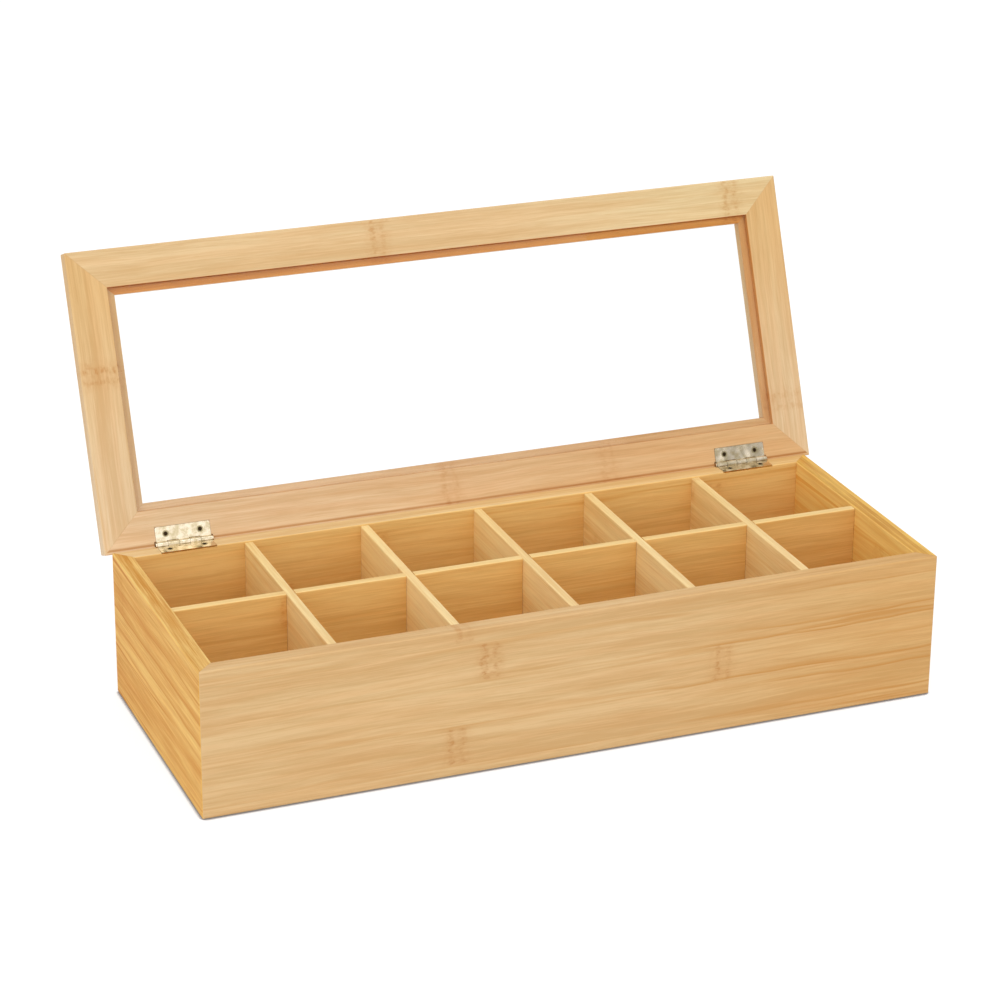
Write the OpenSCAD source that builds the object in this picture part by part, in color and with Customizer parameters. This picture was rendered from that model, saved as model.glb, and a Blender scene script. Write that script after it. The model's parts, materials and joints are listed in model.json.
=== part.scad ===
// Tea bag organizer box: a long, low bamboo box with mitred corners, a loose-laid grid of
// half-lapped dividers that makes twelve compartments, and a mitred lid frame with a clear pane.
// Two brass butt hinges join the lid to the rear wall. The lid is drawn open, against its stop:
// the rear edge of its frame then meets the outside of the rear wall just below the rim.
// X runs along the box, -Y is the front, +Z is up. The origin is the centre of the base.

/* [Box] */
// Outside width of the box
box_w = 430; // [320:5:560]
// Outside depth of the box
box_d = 166; // [130:2:240]
// Outside height of the box, from the table to the rim
box_h = 85; // [60:1:130]
// Thickness of the four walls
wall_t = 10; // [9:0.5:14]
// Radius that eases the edges of the walls
wall_ease = 1; // [0.4:0.1:1.5]

/* [Bottom] */
// Thickness of the bottom panel
bottom_t = 5; // [3:0.5:8]
// Width of the rabbet in the walls that takes the bottom panel
rabbet_w = 5; // [3:0.5:7]
// Play of the bottom panel in its rabbet, on each side
bottom_play = 0.1; // [0.05:0.05:0.3]

/* [Dividers] */
// Thickness of the dividers
divider_t = 5; // [3:0.5:7]
// Distance from the rim down to the top of the dividers
divider_drop = 1; // [0.5:0.5:15]
// Radius that eases the top edges of the dividers
divider_ease = 0.8; // [0.3:0.1:1.2]
// Play at the ends of the dividers and in their half-lap slots, on each side
divider_play = 0.15; // [0.05:0.05:0.3]

/* [Lid] */
// Width of the four members of the lid frame
rail_w = 26; // [20:0.5:34]
// Thickness of the lid frame
lid_t = 9.5; // [8:0.5:14]
// Overhang of the lid past each side wall
lid_side_overhang = 4; // [0:0.5:8]
// Overhang of the lid past the front wall
lid_front_overhang = 1.8; // [0:0.2:8]
// Radius that eases the edges of the lid frame
lid_ease = 0.8; // [0.4:0.1:1.2]
// Gap between the closed lid and the rim
lid_gap = 0.5; // [0.4:0.1:1]
// Angle of the open lid, counted from closed
open_angle = 112; // [100:0.5:125]
// Space left between the open lid and the rear wall that stops it
stop_gap = 0.3; // [0.1:0.05:0.5]

/* [Window] */
// Width of the rebate that takes the pane
rebate_w = 4.4; // [3:0.2:7]
// Depth of the rebate, from the underside of the lid
rebate_depth = 3; // [2.5:0.5:4]
// Thickness of the pane
pane_t = 2; // [1:0.5:2.5]
// Play of the pane in its rebate, on each side
pane_play = 0.3; // [0.1:0.1:0.6]

/* [Hinges] */
// Length of a hinge
hinge_len = 32; // [26:1:44]
// Distance from the end of the box to the middle of a hinge
hinge_inset = 42; // [36:1:70]
// Distance from the rear wall back to the hinge pin
hinge_setback = 0.4; // [0.2:0.1:0.6]
// Thickness of the hinge leaves
leaf_t = 1; // [0.8:0.1:1.2]
// How far the leaves stand proud of the wood
leaf_proud = 0.1; // [0:0.02:0.12]
// Distance from the inner face of the rear wall back to the edge of the hinge leaf
leaf_inset = 0.2; // [0:0.1:1]
// Radius of the free corners of the leaves
leaf_corner_r = 1; // [0.4:0.1:1.5]
// Outside radius of the knuckles
knuckle_r = 2; // [1.9:0.1:2.4]
// Gap between neighbouring knuckles along the pin
knuckle_gap = 0.2; // [0.1:0.05:0.4]
// Radius of the hinge pin
pin_r = 1; // [0.7:0.05:1.1]
// Running clearance around the pin
pin_play = 0.05; // [0.02:0.01:0.09]
// Radius of the heads at the ends of the pin
pin_head_r = 1.6; // [1.4:0.1:1.9]
// Thickness of the heads of the pin
pin_head_t = 0.8; // [0.5:0.1:1.2]
// Clearance of the knuckles in the wood and in the opposite leaf
knuckle_play = 0.3; // [0.3:0.05:0.5]
// Play of the leaves in their gains, on each side
leaf_play = 0.15; // [0.05:0.05:0.3]

/* [Screws] */
// Distance between the two screws of a leaf
screw_spacing = 20; // [14:0.5:24]
// Radius of the flat head
screw_head_r = 1.9; // [1.6:0.1:2.2]
// Height of the countersunk part of the head
screw_head_h = 1.2; // [0.8:0.1:1.6]
// Radius of the shank
screw_r = 0.9; // [0.7:0.1:1.2]
// Wood left between the tip of a screw and the top of the lid
screw_skin = 1.6; // [1:0.2:2.4]
// Width of the cross recess
recess_w = 0.5; // [0.3:0.1:0.7]
// Length of each arm pair of the cross recess
recess_l = 2.2; // [1.6:0.1:2.6]
// Depth of the cross recess
recess_depth = 0.7; // [0.4:0.1:0.9]
// Clearance around a screw in its hole
screw_play = 0.05; // [0.02:0.01:0.1]

/* [Hidden] */

$fn = 48;
bamboo = "#dcb27c";
bamboo_light = "#e6c493";
brass = "#d8c48a";
steel = "#c9c4b4";
clear = [0.85, 0.93, 0.95, 0.25];

// Overrun that carries a cut clean through a face
over = 1;
// Side of a block that is larger than anything it cuts
far = 2 * (box_w + box_d + box_h);

// Compartments along X; the five cross dividers stand between them
cells_x = 6;
inner_w = box_w - 2 * wall_t;
inner_d = box_d - 2 * wall_t;
cell_w = (inner_w - (cells_x - 1) * divider_t) / cells_x;
divider_h = box_h - divider_drop - bottom_t;
divider_l = inner_w - 2 * divider_play;
divider_d = inner_d - 2 * divider_play;
lap_h = divider_h / 2;

// Hinge pin, and how far the lid reaches behind it to strike the rear wall at open_angle
axis_y = box_d / 2 + hinge_setback;
axis_z = box_h + lid_gap / 2;
stop_reach = stop_gap - hinge_setback + lid_ease - (lid_gap / 2 + lid_ease) * sin(open_angle);
lid_rear_y = axis_y + lid_ease + stop_reach / cos(open_angle);
lid_front_y = -box_d / 2 - lid_front_overhang;
lid_w = box_w + 2 * lid_side_overhang;
lid_d = lid_rear_y - lid_front_y;
lid_mid_y = (lid_rear_y + lid_front_y) / 2;
lid_z = box_h + lid_gap;

// Hinge leaf, in its own frame: pin on the X axis, plate towards -Y and just under the pin
knuckles = 5;
knuckle_l = hinge_len / knuckles;
leaf_reach = wall_t + hinge_setback - leaf_inset;
leaf_face = lid_gap / 2 - leaf_proud;
hinge_x = box_w / 2 - hinge_inset;
screw_y = (leaf_reach + knuckle_r) / 2;
screw_l = lid_t - screw_skin;
screw_tip = 2 * screw_r;
screw_tip_r = screw_r / 4;

// ---- Outlines ----

// Rectangle from the origin, with its four corners eased
module eased_rect(size, r) {
    translate([r, 0]) square([size.x - 2 * r, size.y]);
    translate([0, r]) square([size.x, size.y - 2 * r]);
    for (x = [r, size.x - r], y = [r, size.y - r])
        translate([x, y]) circle(r);
}

// Section of a wall: X from the outer face inwards, Y up
module wall_section() {
    difference() {
        eased_rect([wall_t, box_h], wall_ease);
        translate([wall_t - rabbet_w, -over])
            square([rabbet_w + over, bottom_t + over]);
    }
}

// Section of a lid member: X from the outer edge inwards, Y up from the underside
module rail_section() {
    difference() {
        eased_rect([rail_w, lid_t], lid_ease);
        translate([rail_w - rebate_w, -over])
            square([rebate_w + over, rebate_depth + over]);
    }
}

// Quarter of a w x d plan that faces -Y, bounded by the two 45 degree mitre lines
module mitre_plan(w, d, ease) {
    reach = min(w, d) / 2;
    intersection() {
        translate([-w / 2, -d / 2]) eased_rect([w, d], ease);
        polygon([
            [-w / 2 - over, -d / 2 - over],
            [w / 2 + over, -d / 2 - over],
            [w / 2 - reach, -d / 2 + reach],
            [-w / 2 + reach, -d / 2 + reach]
        ]);
    }
}

// Member along the -Y side of a w x d frame, h high, with the section given as a child
module frame_member(w, d, h, ease) {
    intersection() {
        linear_extrude(h) mitre_plan(w, d, ease);
        translate([-w / 2, -d / 2, 0])
            rotate([90, 0, 90]) linear_extrude(w) children();
    }
}

// Same member on the -X side of the frame
module side_member(w, d, h, ease) {
    rotate(-90) frame_member(d, w, h, ease) children();
}

// ---- Placing ----

// From the hinge's own frame to the box
module at_hinge(side) {
    translate([side * hinge_x, axis_y, axis_z]) children();
}

// From the lid's closed place to its open place
module opened() {
    translate([0, axis_y, axis_z])
        rotate([-open_angle, 0, 0])
            translate([0, -axis_y, -axis_z]) children();
}

// A leaf's two screw places, in the hinge's own frame
module at_screws() {
    for (x = [-1, 1])
        translate([x * screw_spacing / 2, -screw_y, -leaf_face]) children();
}

// ---- Hinge pieces, in the hinge's own frame ----

// Screw body of revolution below its flat face, grown by play for the hole it sits in
module screw_body(play) {
    rotate_extrude()
        polygon([
            [0, 0],
            [screw_head_r + play, 0],
            [screw_r + play, -screw_head_h],
            [screw_r + play, -screw_l + screw_tip],
            [screw_tip_r + play, -screw_l - play],
            [0, -screw_l - play]
        ]);
}

module screw() {
    difference() {
        screw_body(0);
        for (turn = [0, 90])
            rotate(turn)
                translate([-recess_l / 2, -recess_w / 2, -recess_depth])
                    cube([recess_l, recess_w, recess_depth + over]);
    }
}

// Leaf with knuckles first, first + 2, ...; the plate is notched for the other leaf's knuckles
module leaf(first) {
    own = [for (k = [first : 2 : knuckles - 1]) k];
    others = [for (k = [1 - first : 2 : knuckles - 1]) k];
    notch = knuckle_r + knuckle_play;
    difference() {
        union() {
            translate([0, 0, -leaf_face - leaf_t])
                linear_extrude(leaf_t) leaf_plan(others, notch);
            for (k = own)
                translate([-hinge_len / 2 + k * knuckle_l + knuckle_gap / 2, 0, 0])
                    rotate([0, 90, 0])
                        cylinder(r = knuckle_r, h = knuckle_l - knuckle_gap);
        }
        translate([-hinge_len / 2 - over, 0, 0])
            rotate([0, 90, 0]) cylinder(r = pin_r + pin_play, h = hinge_len + 2 * over);
        at_screws() screw_body(screw_play);
    }
}

// Plan of a leaf, with square notches at the knuckles numbered in others
module leaf_plan(others, notch) {
    difference() {
        union() {
            translate([-hinge_len / 2, -leaf_reach])
                eased_rect([hinge_len, leaf_reach - notch + leaf_corner_r], leaf_corner_r);
            translate([-hinge_len / 2 + knuckle_gap / 2, -leaf_reach + leaf_corner_r])
                square([hinge_len - knuckle_gap, leaf_reach - leaf_corner_r]);
        }
        for (k = others)
            translate([-hinge_len / 2 + k * knuckle_l - knuckle_gap / 2, -notch])
                square([knuckle_l + knuckle_gap, notch + over]);
    }
}

module pin() {
    translate([-hinge_len / 2, 0, 0])
        rotate([0, 90, 0]) cylinder(r = pin_r, h = hinge_len);
    for (side = [0, 1])
        mirror([side, 0, 0])
            translate([hinge_len / 2, 0, 0])
                rotate([0, 90, 0]) cylinder(r = pin_head_r, h = pin_head_t);
}

// Wood taken away for a leaf, its screws and the barrel; front is the cut's edge towards -Y
module leaf_gain(front) {
    gain_l = hinge_len + 2 * leaf_play;
    barrel_l = hinge_len + 2 * (pin_head_t + knuckle_play);
    translate([-gain_l / 2, -front, -leaf_face - leaf_t])
        cube([gain_l, front + far, leaf_t + far]);
    translate([-barrel_l / 2, 0, 0])
        rotate([0, 90, 0]) cylinder(r = knuckle_r + knuckle_play, h = barrel_l);
    at_screws() screw_body(screw_play);
}

// ---- Box ----

module front_wall() {
    color(bamboo) frame_member(box_w, box_d, box_h, wall_ease) wall_section();
}

module back_wall() {
    color(bamboo)
        difference() {
            rotate(180) frame_member(box_w, box_d, box_h, wall_ease) wall_section();
            for (side = [-1, 1])
                at_hinge(side) leaf_gain(wall_t + hinge_setback + over);
        }
}

module left_wall() {
    color(bamboo) side_member(box_w, box_d, box_h, wall_ease) wall_section();
}

module right_wall() {
    color(bamboo) rotate(180) side_member(box_w, box_d, box_h, wall_ease) wall_section();
}

module bottom_panel() {
    w = inner_w + 2 * (rabbet_w - bottom_play);
    d = inner_d + 2 * (rabbet_w - bottom_play);
    color(bamboo_light)
        translate([-w / 2, -d / 2, 0]) cube([w, d, bottom_t]);
}

// ---- Dividers ----

// Divider standing on the bottom panel, l long along X and centred, with eased top edges
module divider_board(l) {
    r = divider_ease;
    translate([-l / 2, 0, bottom_t])
        rotate([90, 0, 90])
            linear_extrude(l) {
                translate([-divider_t / 2, 0]) square([divider_t, divider_h - r]);
                translate([-divider_t / 2 + r, 0]) square([divider_t - 2 * r, divider_h]);
                for (y = [-1, 1])
                    translate([y * (divider_t / 2 - r), divider_h - r]) circle(r);
            }
}

// Middle of the cross divider with this number, counted from the left
function divider_x(number) = -inner_w / 2 + number * (cell_w + divider_t) - divider_t / 2;

// Half-lap slot of a divider, centred, from height z up or down to beyond the divider
module lap_slot(z, up) {
    w = divider_t + 2 * divider_play;
    translate([-w / 2, -w / 2, up ? z : z - far]) cube([w, w, far]);
}

module long_divider() {
    color(bamboo)
        difference() {
            divider_board(divider_l);
            for (number = [1 : cells_x - 1])
                translate([divider_x(number), 0, 0])
                    lap_slot(bottom_t + lap_h - divider_play, true);
        }
}

module cross_divider(number) {
    color(bamboo_light)
        translate([divider_x(number), 0, 0])
            difference() {
                rotate(90) divider_board(divider_d);
                lap_slot(bottom_t + lap_h, false);
            }
}

// ---- Lid, drawn open ----

module lid_place() {
    opened() translate([0, lid_mid_y, lid_z]) children();
}

module lid_front_rail() {
    color(bamboo_light) lid_place() frame_member(lid_w, lid_d, lid_t, lid_ease) rail_section();
}

module lid_rear_rail() {
    color(bamboo_light)
        difference() {
            lid_place() rotate(180) frame_member(lid_w, lid_d, lid_t, lid_ease) rail_section();
            opened()
                for (side = [-1, 1])
                    at_hinge(side) mirror([0, 0, 1]) leaf_gain(leaf_reach + leaf_play);
        }
}

module lid_left_stile() {
    color(bamboo_light) lid_place() side_member(lid_w, lid_d, lid_t, lid_ease) rail_section();
}

module lid_right_stile() {
    color(bamboo_light)
        lid_place() rotate(180) side_member(lid_w, lid_d, lid_t, lid_ease) rail_section();
}

module window_pane() {
    border = rail_w - rebate_w + pane_play;
    w = lid_w - 2 * border;
    d = lid_d - 2 * border;
    color(clear)
        lid_place()
            translate([-w / 2, -d / 2, rebate_depth - pane_t]) cube([w, d, pane_t]);
}

// ---- Hinges ----

module box_leaf(side) {
    color(brass) at_hinge(side) leaf(1);
}

module lid_leaf(side) {
    color(brass) opened() at_hinge(side) mirror([0, 0, 1]) leaf(0);
}

module hinge_pin(side) {
    color(brass) at_hinge(side) pin();
}

module box_leaf_screws() {
    color(steel)
        for (side = [-1, 1])
            at_hinge(side) at_screws() screw();
}

module lid_leaf_screws() {
    color(steel)
        opened()
            for (side = [-1, 1])
                at_hinge(side) mirror([0, 0, 1]) at_screws() screw();
}

front_wall();
back_wall();
left_wall();
right_wall();
bottom_panel();
long_divider();
cross_divider(1);  // cross_divider_1
cross_divider(2);  // cross_divider_2
cross_divider(3);  // cross_divider_3
cross_divider(4);  // cross_divider_4
cross_divider(5);  // cross_divider_5
lid_front_rail();
lid_rear_rail();
lid_left_stile();
lid_right_stile();
window_pane();
box_leaf(-1);  // left_hinge_box_leaf
box_leaf(1);  // right_hinge_box_leaf
lid_leaf(-1);  // left_hinge_lid_leaf
lid_leaf(1);  // right_hinge_lid_leaf
hinge_pin(-1);  // left_hinge_pin
hinge_pin(1);  // right_hinge_pin
box_leaf_screws();
lid_leaf_screws();
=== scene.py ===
import json
import math
from collections import namedtuple
from functools import reduce

import bpy
from mathutils import Matrix, Vector

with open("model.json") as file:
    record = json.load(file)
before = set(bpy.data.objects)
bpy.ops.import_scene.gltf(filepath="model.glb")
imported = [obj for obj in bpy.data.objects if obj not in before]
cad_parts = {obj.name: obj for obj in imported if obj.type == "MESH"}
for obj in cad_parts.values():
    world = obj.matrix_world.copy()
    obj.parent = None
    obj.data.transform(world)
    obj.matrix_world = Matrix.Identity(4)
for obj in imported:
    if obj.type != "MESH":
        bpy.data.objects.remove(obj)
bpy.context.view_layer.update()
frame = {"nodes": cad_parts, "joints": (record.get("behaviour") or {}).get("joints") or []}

# Looks of the tea bag organizer box. Object coordinates are metres in the CAD frame. Every figure in
# the bamboo is written in millimetres: along the grain, across the strips and through the board. The
# lid's figure is written in the lid's closed place, so it follows the tilted boards.

MM = 1000.0
X, Y, Z = range(3)
HINGE = frame["joints"][0]
PIN = MM * Vector(HINGE["pos_m"])
CLOSING = math.radians(HINGE["range_deg"][1])


# ---------------------------------------------------------------- sizes, from the frame

def span(node, axis, closed=False):
    """Lowest and highest place of a CAD node along an axis, in mm, at rest or in the lid's closed place."""
    places = [MM * vertex.co for vertex in frame["nodes"][node].data.vertices]
    if closed:
        turn = Matrix.Rotation(CLOSING, 3, "X")
        places = [PIN + turn @ (place - PIN) for place in places]
    found = [place[axis] for place in places]
    return round(min(found), 2), round(max(found), 2)


def middle(node, axis):
    return sum(span(node, axis)) / 2


# Half sizes, middle, width of the members, and lowest and highest place of four mitred boards
Mitred = namedtuple("Mitred", "half_w half_d mid_y thick low high")


def mitred(left, front, rear, closed=False):
    outer, inner = span(left, X, closed)
    front_y, rear_y = span(front, Y, closed)[0], span(rear, Y, closed)[1]
    low, high = span(left, Z, closed)
    return Mitred(-outer, (rear_y - front_y) / 2, (rear_y + front_y) / 2, inner - outer, low, high)


WALLS = mitred("left_wall", "front_wall", "back_wall")
LID = mitred("lid_left_stile", "lid_front_rail", "lid_rear_rail", closed=True)
DIVIDER_HALF, DIVIDER_TOP = span("long_divider", Y)[1], span("long_divider", Z)[1]
PANE_PLAY = 0.3
REBATE = LID.half_w - span("window_pane", X, closed=True)[1] - PANE_PLAY
LEDGE_Z = span("window_pane", Z, closed=True)[1]
HINGE_X, SCREW_Y, SCREW_SPACING = middle("right_hinge_pin", X), middle("box_leaf_screws", Y), 20.0


# ---------------------------------------------------------------- node helpers

def linear(red, green, blue):
    """sRGB 0-255 to the linear RGBA that sockets take."""
    def one(c):
        c /= 255.0
        return c / 12.92 if c <= 0.04045 else ((c + 0.055) / 1.055) ** 2.4
    return (one(red), one(green), one(blue), 1.0)


def tinted(colour, factors):
    return tuple(min(c * f, 1.0) for c, f in zip(colour[:3], factors)) + (1.0,)


class Net:
    """Adds nodes to one tree and hands back their output sockets."""

    def __init__(self, tree):
        self.tree = tree

    def node(self, kind, **settings):
        made = self.tree.nodes.new(kind)
        for key, value in settings.items():
            setattr(made, key, value)
        return made

    def feed(self, socket, value):
        if isinstance(value, bpy.types.NodeSocket):
            self.tree.links.new(value, socket)
        else:
            socket.default_value = value

    def math(self, operation, *values, clamp=False):
        made = self.node("ShaderNodeMath", operation=operation, use_clamp=clamp)
        for socket, value in zip(made.inputs, values):
            self.feed(socket, value)
        return made.outputs[0]

    def product(self, *values):
        return reduce(lambda a, b: self.math("MULTIPLY", a, b), values)

    def most(self, values):
        """The greatest of the values, or 0 where there are none."""
        return reduce(lambda a, b: self.math("MAXIMUM", a, b), values, 0.0)

    def total(self, start, *terms):
        """start, and for each (value, factor) their product added to it."""
        for value, factor in terms:
            start = self.math("MULTIPLY_ADD", value, factor, start)
        return start

    def off(self, value, target):
        """Distance from value to target."""
        return self.math("ABSOLUTE", self.math("SUBTRACT", value, target))

    def vector(self, x, y, z):
        made = self.node("ShaderNodeCombineXYZ")
        for socket, value in zip(made.inputs, (x, y, z)):
            self.feed(socket, value)
        return made.outputs[0]

    def parts(self, vector):
        made = self.node("ShaderNodeSeparateXYZ")
        self.feed(made.inputs[0], vector)
        return made.outputs[:]

    def scaled(self, places, *scales):
        """Three places, each times its own scale, as one vector."""
        return self.vector(*(self.math("MULTIPLY", p, s) for p, s in zip(places, scales)))

    def mix(self, factor, a, b, blend="MIX"):
        made = self.node("ShaderNodeMix", data_type="RGBA", blend_type=blend)
        self.feed(made.inputs["Factor"], factor)
        self.feed(made.inputs[6], a)
        self.feed(made.inputs[7], b)
        return made.outputs[2]

    def toned(self, factor, colour, tone):
        """The colour, multiplied by tone as far as factor says."""
        return self.mix(factor, colour, self.mix(1.0, colour, tone, "MULTIPLY"))

    def ramp(self, value, low, high, to_low=0.0, to_high=1.0):
        made = self.node("ShaderNodeMapRange", interpolation_type="SMOOTHSTEP")
        for socket, given in zip(made.inputs, (value, low, high, to_low, to_high)):
            self.feed(socket, given)
        return made.outputs[0]

    def noise(self, place, detail=2.0, roughness=0.5):
        made = self.node("ShaderNodeTexNoise", noise_dimensions="3D")
        self.feed(made.inputs["Vector"], place)
        made.inputs["Scale"].default_value = 1.0
        made.inputs["Detail"].default_value = detail
        made.inputs["Roughness"].default_value = roughness
        return made.outputs["Fac"]

    def random(self, value):
        made = self.node("ShaderNodeTexWhiteNoise", noise_dimensions="1D")
        self.feed(made.inputs["W"], value)
        return made.outputs["Value"]

    def bump(self, height, distance):
        made = self.node("ShaderNodeBump")
        made.inputs["Distance"].default_value = distance
        self.feed(made.inputs["Height"], height)
        return made.outputs[0]

    def surface(self, shader):
        self.feed(self.node("ShaderNodeOutputMaterial").inputs["Surface"], shader)


def material(name):
    made = bpy.data.materials.new(name)
    made.use_nodes = True
    made.node_tree.nodes.clear()
    return made, Net(made.node_tree)


# ---------------------------------------------------------------- bamboo figure

# Noises of the grain: length along it, width across it, detail, roughness, and a shift that keeps
# one apart from another
GRAIN = {"broad": (240.0, 9.0, 1.0, 0.5, 0.0), "warm": (70.0, 6.0, 2.0, 0.5, 31.0),
         "band": (75.0, 2.3, 2.0, 0.55, 0.0), "fibre": (26.0, 0.8, 3.0, 0.65, 0.0),
         "hair": (9.0, 0.4, 1.0, 0.5, 0.0), "soft_line": (90.0, 2.8, 1.0, 0.5, 57.0)}
# How far each of them, and a strip's own tone, move the board between deep and pale
BROAD_TONE, BAND_TONE, FIBRE_TONE, STRIP_TONE = 1.9, 1.4, 2.1, 0.5
# Slow sway of the fibres: its length, its width and how far it carries them
SWAY_LENGTH, SWAY_WIDTH, SWAY_REACH = 160.0, 60.0, 7.0
# Short brown fibres of a knuckle
DASH_LENGTH, DASH_WIDTH = 4.0, 1.4
# How strongly the finer marks show in the colour; the last is the eased edges' painted highlight
HAIR_SHARE, SEAM_SHARE, JOINT_SHARE, EDGE_HIGHLIGHT_SHARE = 0.28, 0.24, 0.16, 0.35
PINKER = (1.0, 0.955, 0.92, 1.0)
# How far apart the strips' figures are cut from the noise, so that no two strips look alike
STRIP_SHIFT_ALONG, STRIP_SHIFT_ACROSS = 900.0, 300.0

# Shades of a board as factors of its colour: pale and deep grain, orange-brown lines, knuckles
SHADES = {"Pale": (1.07, 1.11, 1.18), "Deep": (0.91, 0.86, 0.79),
          "Streak": (0.89, 0.74, 0.53), "Mark": (0.78, 0.55, 0.36)}
FRONT_SHADES = {**SHADES, "Streak": (0.86, 0.68, 0.45), "Mark": (0.77, 0.53, 0.34)}
SIDE_SHADES = {"Pale": (1.10, 1.24, 1.45), "Deep": (0.86, 0.74, 0.60),
               "Streak": (0.81, 0.60, 0.40), "Mark": (0.72, 0.52, 0.35)}
FIGURE_INPUTS = ("Along", "Across", "Through", "Strip", "Lines", "Line", "Seam", "Knuckle", "Joint", "Edge")
FIGURE_OUTPUTS = {"Colour": "NodeSocketColor", "Roughness": "NodeSocketFloat", "Height": "NodeSocketFloat"}


def figure_group():
    """The grain that every bamboo board shares: in, a place in mm and the board's marks; out, colour,
    roughness and height."""
    tree = bpy.data.node_groups.new("bamboo_figure", "ShaderNodeTree")
    net = Net(tree)
    for name in FIGURE_INPUTS:
        tree.interface.new_socket(name=name, in_out="INPUT", socket_type="NodeSocketFloat")
    for name in SHADES:
        tree.interface.new_socket(name=name, in_out="INPUT", socket_type="NodeSocketColor")
    for name, kind in FIGURE_OUTPUTS.items():
        tree.interface.new_socket(name=name, in_out="OUTPUT", socket_type=kind)
    given = net.node("NodeGroupInput").outputs
    strip, through = given["Strip"], given["Through"]
    chance = net.random(strip)
    other = net.random(net.math("ADD", strip, 0.37))
    along = net.total(given["Along"], (chance, STRIP_SHIFT_ALONG))
    across = net.total(given["Across"], (other, STRIP_SHIFT_ACROSS))

    # Fibres run nearly straight, with a slow sway
    swayed = net.vector(net.math("MULTIPLY", along, 1 / SWAY_LENGTH),
                        net.math("MULTIPLY", across, 1 / SWAY_WIDTH), strip)
    across = net.total(across, (net.noise(swayed), SWAY_REACH))

    def grain(name):
        length, width, detail, roughness, shift = GRAIN[name]
        place = net.vector(net.math("MULTIPLY_ADD", along, 1 / length, shift),
                           net.math("MULTIPLY", across, 1 / width),
                           net.math("MULTIPLY", through, 1 / width))
        return net.noise(place, detail, roughness)

    def centred(value):
        return net.math("SUBTRACT", value, 0.5)

    fibre, hair = grain("fibre"), grain("hair")
    tone = net.total(0.5, (centred(grain("broad")), BROAD_TONE), (centred(chance), STRIP_TONE),
                     (centred(grain("band")), BAND_TONE))
    tone = net.math("MULTIPLY_ADD", centred(fibre), FIBRE_TONE, tone, clamp=True)
    colour = net.mix(tone, given["Deep"], given["Pale"])
    colour = net.toned(net.ramp(grain("warm"), 0.36, 0.66), colour, PINKER)

    # Orange-brown lines, soft and long, gather where the board asks for them
    soft = net.product(net.ramp(grain("soft_line"), 0.52, 0.72), given["Lines"])
    plain = net.product(net.ramp(fibre, 0.3, 0.6, 0.5, 1.0), given["Line"])
    colour = net.mix(net.math("MAXIMUM", soft, plain), colour, given["Streak"])
    colour = net.mix(net.product(net.ramp(hair, 0.58, 0.8), HAIR_SHARE), colour, given["Streak"])

    # A knuckle is a patch of short brown fibres, thick and thin
    dash = net.noise(net.vector(net.math("MULTIPLY", given["Along"], 1 / DASH_LENGTH),
                                net.math("MULTIPLY", given["Across"], 1 / DASH_WIDTH), strip), 3.0, 0.65)
    mark = net.product(given["Knuckle"], net.ramp(dash, 0.34, 0.70, 0.25, 1.0))
    colour = net.mix(mark, colour, given["Mark"])
    colour = net.mix(net.product(given["Seam"], SEAM_SHARE), colour, given["Streak"])
    colour = net.mix(net.product(given["Joint"], JOINT_SHARE), colour, given["Mark"])
    # Eased edges are painted paler: a painted highlight
    colour = net.mix(net.product(given["Edge"], EDGE_HIGHLIGHT_SHARE), colour, given["Pale"])

    rough = net.total(0.38, (fibre, 0.16), (mark, 0.15), (given["Edge"], -0.06))
    height = net.total(0.0, (hair, 0.4), (fibre, 0.7), (mark, -0.5), (given["Seam"], -0.6),
                       (given["Joint"], -1.0))
    out = net.node("NodeGroupOutput")
    for socket, value in zip(out.inputs, (colour, rough, height)):
        net.feed(socket, value)
    return tree


FIGURE = figure_group()


# ---------------------------------------------------------------- places on a board

# Width of the shade beside a glue line between strips
SEAM_W = 0.9
# A face lies this far inside its ply, and each ply's strips are numbered on from the last ply's
PLY_LEAD, STRIPS_PER_PLY = 0.05, 16.0
# Reach of an eased edge, and of the glue line in a mitre
EASED = (0.2, 1.0)
MITRE_LINE = (0.1, 0.4)
# How far the plainest streaks wander from straight: length, width and reach
WANDER_LENGTH, WANDER_WIDTH, WANDER_REACH = 70.0, 25.0, 7.0
STREAK_FADE = 30.0
# A knuckle's ragged edge, how it fades in patches, and its two columns of fibres and the haze round
# them: place, full half width, outer half width and strength
RAGGED_ACROSS, RAGGED_ALONG, RAGGED_REACH = 6.0, 9.0, 10.0
FADED_ACROSS, FADED_ALONG = 4.5, 4.0
KNUCKLE_COLUMNS = ((-2.6, 0.8, 3.4, 1.0), (3.8, 0.6, 3.2, 0.8), (0.0, 3.0, 11.0, 0.5))
BOARD_BUMP, BOARD_GLOSS = 0.00006, 0.22


def board_place(net, closed_lid):
    """Places in mm: the CAD frame's own, or the one that the lid's closed place has."""
    place = net.node("ShaderNodeTexCoord").outputs["Object"]
    if not closed_lid:
        scaled = net.node("ShaderNodeVectorMath", operation="SCALE")
        net.feed(scaled.inputs[0], place)
        scaled.inputs["Scale"].default_value = MM
        return net.parts(scaled.outputs[0])
    move = net.node("ShaderNodeMapping", vector_type="POINT")
    net.feed(move.inputs["Vector"], place)
    move.inputs["Location"].default_value = PIN - Matrix.Rotation(CLOSING, 3, "X") @ PIN
    move.inputs["Rotation"].default_value = (CLOSING, 0.0, 0.0)
    move.inputs["Scale"].default_value = (MM, MM, MM)
    return net.parts(move.outputs[0])


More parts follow.
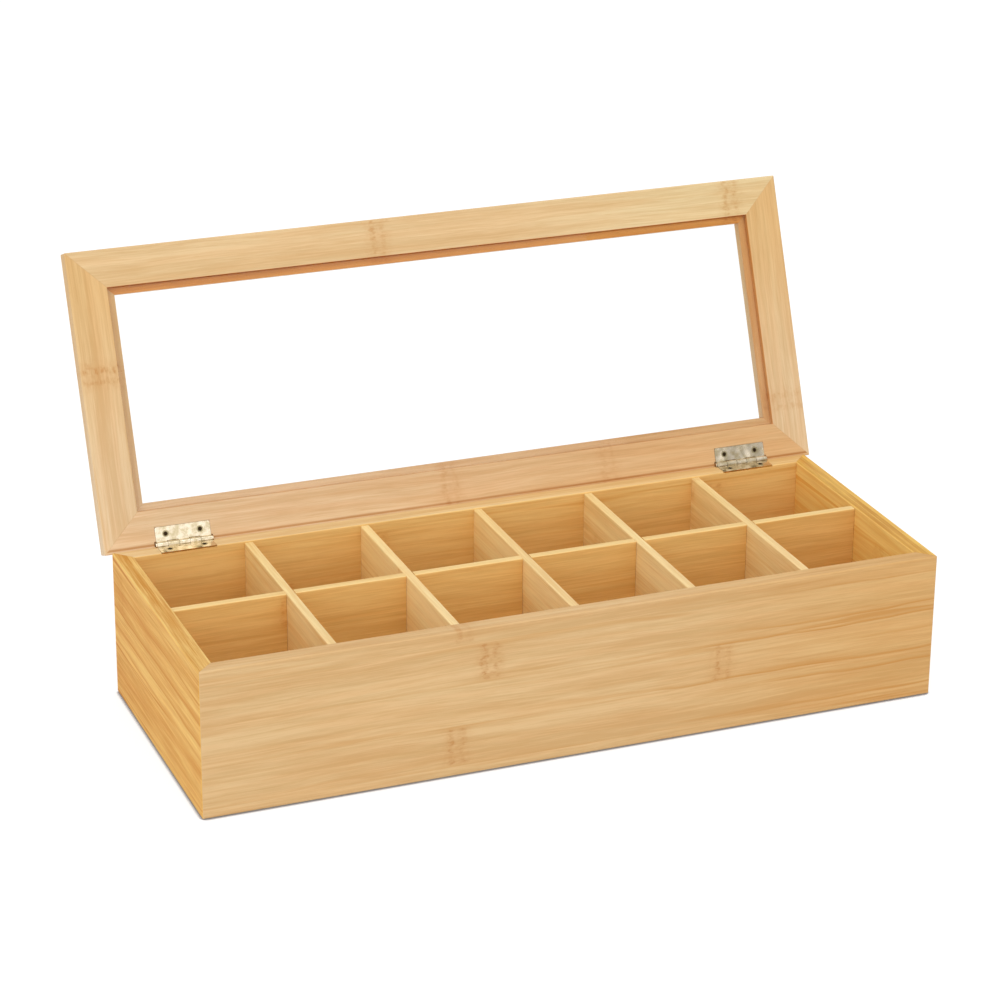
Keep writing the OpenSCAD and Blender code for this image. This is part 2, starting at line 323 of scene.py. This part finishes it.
class Board:
    """Where a point lies on one board. axes says which of x, y, z are along, across and through it,
    strips is where its first strip starts and how wide they are, and boards is the mitred frame that it
    belongs to, or None."""

    def __init__(self, net, axes, seed, strips, boards, ply):
        self.net, self.seed, self.boards = net, seed, boards
        self.place = dict(zip("xyz", board_place(net, boards is LID)))
        self.along, self.across, self.through = (self.place[a] for a in axes)
        start, pitch = strips
        count = net.math("DIVIDE", net.math("SUBTRACT", self.across, start), pitch)
        self.index = net.math("FLOOR", count)
        share = net.product(net.math("FRACT", count), pitch)
        self.border = net.math("MINIMUM", share, net.math("SUBTRACT", pitch, share))
        self.strip = net.math("ADD", self.index, seed)
        if boards:
            self.in_x = net.math("SUBTRACT", boards.half_w, net.math("ABSOLUTE", self.place["x"]))
            self.in_y = net.math("SUBTRACT", boards.half_d, net.off(self.place["y"], boards.mid_y))
            self.inward = self.in_y if axes[0] == "x" else self.in_x
            # The plies are counted from the face that shows most
            depth = net.math("SUBTRACT", self.place["z"], boards.low) if boards is LID else self.inward
            layer = net.math("FLOOR", net.math("DIVIDE", net.math("ADD", depth, PLY_LEAD), ply))
            self.strip = net.total(self.strip, (layer, STRIPS_PER_PLY))

    def noise(self, across, along, seed_shift, detail, roughness):
        net = self.net
        return net.noise(net.vector(net.math("MULTIPLY", self.across, 1 / across),
                                    net.math("MULTIPLY", self.along, 1 / along),
                                    self.seed + seed_shift), detail, roughness)

    def knuckle(self, knuckles):
        """Knuckles sit on one strip each: two soft ragged columns that come and go, in a faint haze."""
        net = self.net
        ragged = net.math("SUBTRACT", self.noise(RAGGED_ACROSS, RAGGED_ALONG, 0.0, 3.0, 0.75), 0.5)
        skew = net.total(self.along, (ragged, RAGGED_REACH))
        faded = net.ramp(self.noise(FADED_ACROSS, FADED_ALONG, 3.0, 1.0, 0.5), 0.35, 0.6, 0.5, 1.0)
        inside = net.product(net.ramp(self.border, 0.0, 2.5), faded)
        patches = []
        for strip, where, strength in knuckles:
            here = net.math("COMPARE", self.index, float(strip), 0.25)
            columns = [net.ramp(net.off(skew, where + place), full, outer, level, 0.0)
                       for place, full, outer, level in KNUCKLE_COLUMNS]
            patches.append(net.product(net.most(columns), strength, here, inside))
        return net.most(patches)

    def streak(self, streaks):
        """The plainest streaks, each with a hard side and a soft one."""
        net = self.net
        wander = net.noise(net.vector(net.math("MULTIPLY", self.along, 1 / WANDER_LENGTH),
                                      net.math("MULTIPLY", self.across, 1 / WANDER_WIDTH),
                                      self.seed + 0.5), 2.0, 0.5)
        strayed = net.total(self.across, (net.math("SUBTRACT", wander, 0.5), WANDER_REACH))
        lines = []
        for spot, start, strength in streaks:
            off = net.math("SUBTRACT", strayed, spot)
            lines.append(net.product(
                net.ramp(off, -0.5, 0.1), net.ramp(off, 0.3, 2.2, 1.0, 0.0),
                net.ramp(self.along, start - STREAK_FADE, start + STREAK_FADE, 0.0, strength)))
        return net.most(lines)

    def joint(self):
        """The glue line in the mitres."""
        if not self.boards:
            return 0.0
        return self.net.ramp(self.net.off(self.in_x, self.in_y), *MITRE_LINE, 1.0, 0.0)

    def edge(self, top):
        """Eased edges are a little paler, a painted highlight: there the distances to two of the board's
        faces are small.
        """
        net, boards = self.net, self.boards
        if boards:
            to_side = net.math("MINIMUM", net.off(self.inward, 0.0), net.off(self.inward, boards.thick))
            to_flat = net.math("MINIMUM", net.off(self.place["z"], boards.low),
                               net.off(self.place["z"], boards.high))
            to_end = net.math("MAXIMUM", self.in_x, self.in_y)
            off_edge = net.math("MINIMUM", net.math("MAXIMUM", to_side, to_flat), to_end)
        elif top:
            middle_at, half, high = top
            to_side = net.math("SUBTRACT", half, net.off(self.through, middle_at))
            off_edge = net.math("MAXIMUM", to_side, net.off(self.place["z"], high))
        else:
            return 0.0
        return net.ramp(off_edge, *EASED, 1.0, 0.0)


# ---------------------------------------------------------------- bamboo boards

WALL_PLY, LID_PLY = 3.35, 3.2
# Where a board goes over from the colour of its low end to that of its high end
ALONG_X, ALONG_Y, FAR_END = (-200.0, 200.0), (-80.0, 80.0), (20.0, 200.0)
# Tints of the painted shade in the lid's rebate and in its fold, and of the painted shadow line under
# the rear rail, which is this wide
REBATE_SHADE_TINT, FOLD_SHADE_TINT, FOOT_SHADOW_TINT = (1.0, 0.60, 0.23, 1.0), (0.75, 0.58, 0.36, 1.0), (0.71, 0.53, 0.36, 1.0)
FOOT_W = 1.6


def board_shade(board, factors, colour, drift, inner, rim, rim_grain):
    """One shade of a board: its colour from end to end, with a wall's own inside, which carries painted
    light and shade, and its own top.
    """
    net, boards = board.net, board.boards
    shade = net.mix(drift, *(tinted(linear(*end), factors) for end in colour))
    if inner:
        inward = net.ramp(board.inward, boards.thick - 0.4, boards.thick - 0.2)
        shade = net.mix(inward, shade, tinted(linear(*inner), factors))
    if rim:
        high = boards.high if boards else DIVIDER_TOP
        stronger = [f ** rim_grain for f in factors]
        shade = net.mix(net.ramp(board.place["z"], high - 0.4, high - 0.2), shade,
                        tinted(linear(*rim), stronger))
    return shade


def rebate_shaded(board, look, strength):
    """The rebate's ledge carries painted shade, darker and more orange than the face, most of all in its
    fold.
    """
    net = board.net
    cut = net.product(net.ramp(board.inward, REBATE - 0.15, REBATE - 0.05, 0.0, strength),
                      net.ramp(board.place["z"], LEDGE_Z + 0.1, LEDGE_Z + 1.2, 1.0, 0.0))
    fold = net.product(cut, net.ramp(board.inward, REBATE + 0.2, REBATE + 1.1, 1.0, 0.0))
    return net.toned(fold, net.toned(cut, look, REBATE_SHADE_TINT), FOLD_SHADE_TINT)


def foot_shadowed(board, look, place):
    """A painted shadow line runs along the lid's underside, this far from its outer side."""
    net = board.net
    line = net.product(net.ramp(board.in_y, place - 0.3, place),
                       net.ramp(board.in_y, place + 0.5, place + FOOT_W, 1.0, 0.0),
                       net.ramp(board.place["z"], LID.low + 0.2, LID.low + 0.4, 1.0, 0.0))
    return net.toned(line, look, FOOT_SHADOW_TINT)


def bamboo(name, axes, colour, seed, strips, knuckles, lines=0.4, streaks=(), turn=None, shades=SHADES,
           boards=None, top=None, inner=None, rim=None, rim_grain=1.0, rebate=0.0, foot=0.0,
           gloss=BOARD_GLOSS):
    """A board's material. axes, strips and boards are as Board takes them. colour is sRGB at the low and
    high end, and turn is where one goes over into the other. knuckles is (strip, place along, strength).
    lines is how strongly orange-brown lines show, and streaks is (place across, place along where it
    sets in, strength) of the plainest. A board outside the frames has its eased edges where top says:
    middle and half thickness, and height. inner and rim are the colours of a wall's inside and top, the
    inside's colour carrying painted light and shade, and rim_grain makes the grain of the top stronger.
    rebate is how much painted shade a lid board's rebate gets, foot is where the painted shadow line
    under the rear rail runs, and gloss is the level of the sheen."""
    made, net = material(name)
    board = Board(net, axes, seed, strips, boards, LID_PLY if boards is LID else WALL_PLY)
    drift = net.ramp(board.along, *(turn or (ALONG_X if axes[0] == "x" else ALONG_Y)))
    near_border = net.ramp(board.border, 1.0, 7.0, 1.0, 0.35)
    marks = {
        "Along": board.along, "Across": board.across, "Through": board.through, "Strip": board.strip,
        "Lines": net.product(near_border, net.math("MULTIPLY_ADD", drift, 0.8 * lines, 0.7 * lines)),
        "Line": board.streak(streaks), "Seam": net.ramp(board.border, 0.0, SEAM_W, 1.0, 0.0),
        "Knuckle": board.knuckle(knuckles), "Joint": board.joint(), "Edge": board.edge(top)}
    marks.update({socket: board_shade(board, factors, colour, drift, inner, rim, rim_grain)
                  for socket, factors in shades.items()})
    group = net.node("ShaderNodeGroup", node_tree=FIGURE)
    for socket, value in marks.items():
        net.feed(group.inputs[socket], value)
    look = group.outputs["Colour"]
    if rebate:
        look = rebate_shaded(board, look, rebate)
    if foot:
        look = foot_shadowed(board, look, foot)
    shader = net.node("ShaderNodeBsdfPrincipled")
    shader.inputs["Specular IOR Level"].default_value = gloss
    net.feed(shader.inputs["Base Color"], look)
    net.feed(shader.inputs["Roughness"], group.outputs["Roughness"])
    net.feed(shader.inputs["Normal"], net.bump(group.outputs["Height"], BOARD_BUMP))
    net.surface(shader.outputs[0])
    return made


FRONT = ((223, 186, 133), (220, 175, 113))
SIDE = ((239, 187, 102), (236, 181, 96))
# The inside of the side walls, lighter than their outside: painted light in the compartments
SIDE_INNER = (252, 210, 124)
RIGHT_SIDE = ((230, 183, 108), (228, 180, 104))
SIDE_RIM = (226, 177, 84)
LEFT_RIM = (228, 180, 102)
BACK = ((233, 200, 146), (232, 194, 132))
LID_FACE = ((227, 194, 144), (228, 201, 150))
STILE = ((222, 182, 123), (230, 200, 157))
LID_LOW = ((231, 199, 157), (224, 182, 129))
# Inside colours of the dividers, the bottom and the front and back walls, which carry painted light and
# shade of the compartments
INSIDE = ((247, 218, 159), (247, 216, 150))
LONG_INSIDE = (240, 197, 122)

BOARDS = {
    "front_wall": dict(
        axes="xzy", colour=FRONT, shades=FRONT_SHADES, turn=FAR_END, seed=166.0, strips=(5.7, 23.7),
        boards=WALLS, lines=0.6, inner=LONG_INSIDE,
        streaks=((58.0, 95.0, 0.9), (52.0, 60.0, 1.0), (30.5, 40.0, 1.0), (24.0, 110.0, 0.9),
                 (43.0, 150.0, 0.5)),
        knuckles=((0, -73.0, 0.9), (1, 83.3, 0.8), (2, -54.0, 0.9), (3, -69.0, 0.6))),
    "back_wall": dict(
        axes="xzy", colour=BACK, seed=237.0, strips=(8.0, 24.0), boards=WALLS, lines=0.6,
        inner=LONG_INSIDE,
        knuckles=((0, 40.0, 0.8), (1, -118.0, 0.9), (2, 150.0, 0.8), (2, -60.0, 0.7))),
    "left_wall": dict(
        axes="yzx", colour=SIDE, shades=SIDE_SHADES, seed=595.0, strips=(4.0, 25.0), boards=WALLS,
        lines=1.1, inner=SIDE_INNER, rim=LEFT_RIM, rim_grain=1.4, gloss=0.03,
        knuckles=((2, 67.0, 0.35),),
        streaks=((67.0, -200.0, 1.0), (54.0, -200.0, 1.0), (42.0, -200.0, 0.9), (33.0, -60.0, 0.7),
                 (14.0, 0.0, 0.8))),
    "right_wall": dict(
        axes="yzx", colour=RIGHT_SIDE, shades=FRONT_SHADES, seed=658.0, strips=(2.0, 24.0),
        boards=WALLS, lines=1.1, inner=SIDE_INNER, rim=SIDE_RIM, rim_grain=2.3,
        knuckles=((0, 18.0, 0.7), (2, -34.0, 0.6)),
        streaks=((71.0, -200.0, 0.8), (47.0, -30.0, 0.8), (20.0, -200.0, 0.7))),
    "bottom_panel": dict(
        axes="xyz", colour=INSIDE, seed=81.0, strips=(-90.0, 22.5),
        knuckles=((1, 60.0, 0.8), (2, -122.0, 0.8), (4, 8.0, 0.8), (6, 131.0, 0.8))),
    "long_divider": dict(
        axes="xzy", colour=(LONG_INSIDE, LONG_INSIDE), rim=INSIDE[1], seed=101.0, strips=(9.0, 26.0),
        top=(0.0, DIVIDER_HALF, DIVIDER_TOP), knuckles=((1, 20.0, 0.8), (2, -140.0, 0.7))),
    "lid_front_rail": dict(
        axes="xyz", colour=LID_FACE, turn=FAR_END, seed=168.0, strips=(-86.0, 28.0), boards=LID,
        rebate=1.0, knuckles=((0, -36.0, 0.85), (0, 188.0, 0.9))),
    "lid_rear_rail": dict(
        axes="xyz", colour=LID_LOW, seed=753.0, strips=(58.6, 28.0), boards=LID, rebate=0.1, foot=1.6,
        knuckles=((0, -12.0, 0.6), (0, 88.0, 0.45))),
    "lid_left_stile": dict(
        axes="yxz", colour=STILE, seed=691.0, strips=(-220.0, 28.0), boards=LID, rebate=0.1,
        knuckles=((0, -15.0, 0.95),)),
    "lid_right_stile": dict(
        axes="yxz", colour=STILE, seed=275.0, strips=(192.6, 28.0), boards=LID, rebate=0.5,
        knuckles=((0, 50.0, 0.6),)),
}
for number in range(1, 6):
    divider = f"cross_divider_{number}"
    BOARDS[divider] = dict(
        axes="yzx", colour=INSIDE, seed=200.0 + 20 * number, strips=(4.0 + 3 * number, 25.0),
        top=(middle(divider, X), DIVIDER_HALF, DIVIDER_TOP),
        knuckles=((number % 3, -40.0 + 23 * number, 0.7),))


def paint(node, look):
    slots = frame["nodes"][node].data.materials
    slots.clear()
    slots.append(look)


for board_name, facts in BOARDS.items():
    paint(board_name, bamboo("bamboo_" + board_name, **facts))


# ---------------------------------------------------------------- metal and pane

BRASS_BRIGHT, BRASS_DULL, BRASS_ROUGH = (241, 226, 200), (204, 187, 150), 0.12
# The screw heads' dark middle is painted shade of the cross recess
SCREW_RECESS_SHADE, SCREW_RIM = (72, 56, 38), (186, 172, 134)
PANE_TINT, PANE_IOR = (0.985, 0.99, 0.99, 1.0), 1.49
# How much smaller than its CAD solid the pane is drawn, in metres
PANE_SHRINK = 0.00005


def metal(net, colour, roughness):
    shader = net.node("ShaderNodeBsdfPrincipled")
    shader.inputs["Metallic"].default_value = 1.0
    net.feed(shader.inputs["Base Color"], colour)
    net.feed(shader.inputs["Roughness"], roughness)
    net.surface(shader.outputs[0])
    return shader


def brass(name):
    """Plated metal: faint clouding, fine rub marks along X and a soft bloom in the roughness. Thin sheet
    is never quite flat, so the room that it mirrors comes out in patches."""
    made, net = material(name)
    place = net.parts(net.node("ShaderNodeTexCoord").outputs["Object"])
    cloud = net.noise(net.scaled(place, 260.0, 260.0, 260.0), 3.0, 0.6)
    rub = net.noise(net.scaled(place, 400.0, 6000.0, 6000.0), 2.0, 0.6)
    wave = net.noise(net.scaled(place, 110.0, 110.0, 110.0), 1.0, 0.5)
    shader = metal(net, net.mix(net.ramp(cloud, 0.35, 0.7), linear(*BRASS_BRIGHT), linear(*BRASS_DULL)),
                   net.total(BRASS_ROUGH, (cloud, 0.14)))
    net.feed(shader.inputs["Normal"], net.bump(net.total(wave, (rub, 0.02)), 0.0004))
    return made


def screw(name, closed_lid):
    """Flat screw heads: a plated rim, and painted shade that darkens towards the cross recess."""
    made, net = material(name)
    place = board_place(net, closed_lid)
    off_hinge = net.math("SUBTRACT", net.math("ABSOLUTE", place[0]), HINGE_X)
    off_x = net.math("SUBTRACT", net.math("ABSOLUTE", off_hinge), SCREW_SPACING / 2)
    off_y = net.math("SUBTRACT", place[1], SCREW_Y)
    away = net.node("ShaderNodeVectorMath", operation="LENGTH")
    net.feed(away.inputs[0], net.vector(off_x, off_y, 0.0))
    cloud = net.noise(net.scaled(place, 1.1, 1.1, 1.1), 3.0, 0.6)
    rim = net.ramp(net.total(away.outputs["Value"], (cloud, 0.8)), 1.3, 2.1)
    metal(net, net.mix(rim, linear(*SCREW_RECESS_SHADE), linear(*SCREW_RIM)), net.total(0.45, (rim, -0.2)))
    return made


def pane():
    """Clear acrylic: a thin sheet that passes what is behind it and mirrors more at a slant, with faint
    wipe marks in the mirror."""
    made, net = material("clear_pane")
    place = net.parts(net.node("ShaderNodeTexCoord").outputs["Object"])
    wipe = net.noise(net.scaled(place, 18.0, 90.0, 60.0), 3.0, 0.6)
    mirror = net.node("ShaderNodeBsdfGlossy")
    net.feed(mirror.inputs["Roughness"], net.total(0.02, (net.ramp(wipe, 0.45, 0.8), 0.06)))
    through = net.node("ShaderNodeBsdfTransparent")
    through.inputs["Color"].default_value = PANE_TINT
    slant = net.node("ShaderNodeFresnel")
    slant.inputs["IOR"].default_value = PANE_IOR
    behind = net.node("ShaderNodeNewGeometry").outputs["Backfacing"]
    both = net.node("ShaderNodeMixShader")
    net.feed(both.inputs[0], net.product(slant.outputs[0], net.math("SUBTRACT", 1.0, behind)))
    net.feed(both.inputs[1], through.outputs[0])
    net.feed(both.inputs[2], mirror.outputs[0])
    net.surface(both.outputs[0])
    return made


plate = brass("brass_plate")
for side in ("left", "right"):
    for piece in ("box_leaf", "lid_leaf", "pin"):
        paint(f"{side}_hinge_{piece}", plate)
for piece, closed_lid in (("box_leaf_screws", False), ("lid_leaf_screws", True)):
    paint(piece, screw(piece + "_plate", closed_lid))
paint("window_pane", pane())
# The sheet is drawn a hair smaller, so that no face of it lies in a face of the wood
shrink = frame["nodes"]["window_pane"].modifiers.new("shrink", "DISPLACE")
shrink.mid_level = 0.0
shrink.strength = -PANE_SHRINK


# ---------------------------------------------------------------- floor, light and camera

# The floor lies a hair under the box, so that their faces don't share a plane
FLOOR_HALF, FLOOR_Z = 6.0, -0.0003
# The thin dark line where the box stands, a painted contact shadow: how far it reaches, and its colour
NOOK_REACH, NOOK_SHADOW_COLOUR = 0.004, (0.12, 0.085, 0.06, 1.0)
FLOOR_BOUNCE, FLOOR_SHADOW = (0.8, 0.8, 0.8, 1.0), (0.34, 0.34, 0.34, 1.0)
# Glow that brings the open floor to white, and what is left of it in the nook
FLOOR_GLOW, NOOK_GLOW = 0.62, 0.16
# Level of the room where it lights, and the level that a gloss sees low down and high up
ROOM_LEVEL, ROOM_LOW, ROOM_HIGH = 0.89, 0.6, 1.0


def floor_material():
    """Plain floor, white to the camera, a gloss or the pane, that keeps a pale shadow, with a painted
    contact shadow where the box stands.
    """
    made, net = material("floor")
    path = net.node("ShaderNodeLightPath").outputs
    seen = net.math("MAXIMUM", net.math("MAXIMUM", path["Is Camera Ray"], path["Is Glossy Ray"]),
                    path["Is Transmission Ray"])
    bounce = net.node("ShaderNodeBsdfDiffuse")
    bounce.inputs["Color"].default_value = FLOOR_BOUNCE
    shade = net.node("ShaderNodeBsdfDiffuse")
    glow = net.node("ShaderNodeEmission")
    # The nook is found by ambient occlusion and painted as a contact shadow
    nook = net.node("ShaderNodeAmbientOcclusion", samples=8)
    nook.inputs["Distance"].default_value = NOOK_REACH
    open_share = net.ramp(nook.outputs["AO"], 0.45, 0.8)
    net.feed(shade.inputs["Color"], net.mix(open_share, NOOK_SHADOW_COLOUR, FLOOR_SHADOW))
    net.feed(glow.inputs["Strength"], net.total(NOOK_GLOW, (open_share, FLOOR_GLOW)))
    both = net.node("ShaderNodeAddShader")
    net.feed(both.inputs[0], shade.outputs[0])
    net.feed(both.inputs[1], glow.outputs[0])
    pick = net.node("ShaderNodeMixShader")
    net.feed(pick.inputs[0], seen)
    net.feed(pick.inputs[1], bounce.outputs[0])
    net.feed(pick.inputs[2], both.outputs[0])
    net.surface(pick.outputs[0])
    return made


def studio():
    """White where it is looked at, a plain level where it lights. A gloss that looks low sees a dimmer
    room, so that the metal has something to mirror."""
    world = bpy.data.worlds.new("studio")
    world.use_nodes = True
    world.node_tree.nodes.clear()
    net = Net(world.node_tree)
    path = net.node("ShaderNodeLightPath").outputs
    direction = net.parts(net.node("ShaderNodeTexCoord").outputs["Generated"])
    room = net.product(net.ramp(direction[2], 0.30, 0.75, ROOM_LOW, ROOM_HIGH), path["Is Glossy Ray"])
    white = net.math("MAXIMUM", path["Is Camera Ray"], path["Is Transmission Ray"])
    looked_at = net.math("MAXIMUM", white, path["Is Glossy Ray"])
    lighting = net.product(net.math("SUBTRACT", 1.0, looked_at), ROOM_LEVEL)
    background = net.node("ShaderNodeBackground")
    net.feed(background.inputs["Strength"], net.most([white, room, lighting]))
    net.feed(net.node("ShaderNodeOutputWorld").inputs["Surface"], background.outputs[0])
    return world


def lamp(name, place, aim, size, power):
    data = bpy.data.lights.new(name, "AREA")
    data.shape = "SQUARE"
    data.size = size
    data.energy = power
    made = bpy.data.objects.new(name, data)
    made.location = place
    made.rotation_euler = (Vector(aim) - Vector(place)).to_track_quat("-Z", "Y").to_euler()
    bpy.context.scene.collection.objects.link(made)


mesh = bpy.data.meshes.new("floor")
corners = [(-1, -1), (1, -1), (1, 1), (-1, 1)]
mesh.from_pydata([(x * FLOOR_HALF, y * FLOOR_HALF, FLOOR_Z) for x, y in corners], [], [(0, 1, 2, 3)])
mesh.materials.append(floor_material())
floor = bpy.data.objects.new("floor", mesh)
bpy.context.scene.collection.objects.link(floor)

bpy.context.scene.world = studio()
lamp("top_light", (-0.3, -0.5, 2.1), (0.0, 0.0, 0.05), 1.8, 10.3)
lamp("front_light", (0.2, -2.3, 1.0), (0.0, 0.0, 0.1), 1.85, 8.5)
lamp("left_light", (-2.2, -1.0, 1.0), (0.0, 0.0, 0.1), 1.2, 9.0)
lamp("right_light", (2.2, -0.8, 1.1), (0.0, 0.0, 0.1), 1.2, 2.5)

# The viewing place, solved from the box's straight edges
AZIMUTH, ELEVATION, ROLL = (math.radians(a) for a in (-21.920, 22.375, 0.535))
CAMERA_PLACE, CAMERA_LENS, CAMERA_SENSOR = (-0.6321, -1.5319, 0.7999), 116.417, 36.0
back = Vector((math.sin(AZIMUTH) * math.cos(ELEVATION),
               -math.cos(AZIMUTH) * math.cos(ELEVATION), math.sin(ELEVATION)))
level = Vector((0.0, 0.0, 1.0)).cross(back).normalized()
upright = back.cross(level)
right = math.cos(ROLL) * level + math.sin(ROLL) * upright
up = math.cos(ROLL) * upright - math.sin(ROLL) * level
camera_data = bpy.data.cameras.new("camera")
camera_data.sensor_width = CAMERA_SENSOR
camera_data.lens = CAMERA_LENS
camera = bpy.data.objects.new("camera", camera_data)
facing = Matrix((right, up, back)).transposed().to_4x4()
camera.matrix_world = Matrix.Translation(CAMERA_PLACE) @ facing
bpy.context.scene.collection.objects.link(camera)
bpy.context.scene.camera = camera

bpy.context.scene.view_settings.view_transform = "Standard"
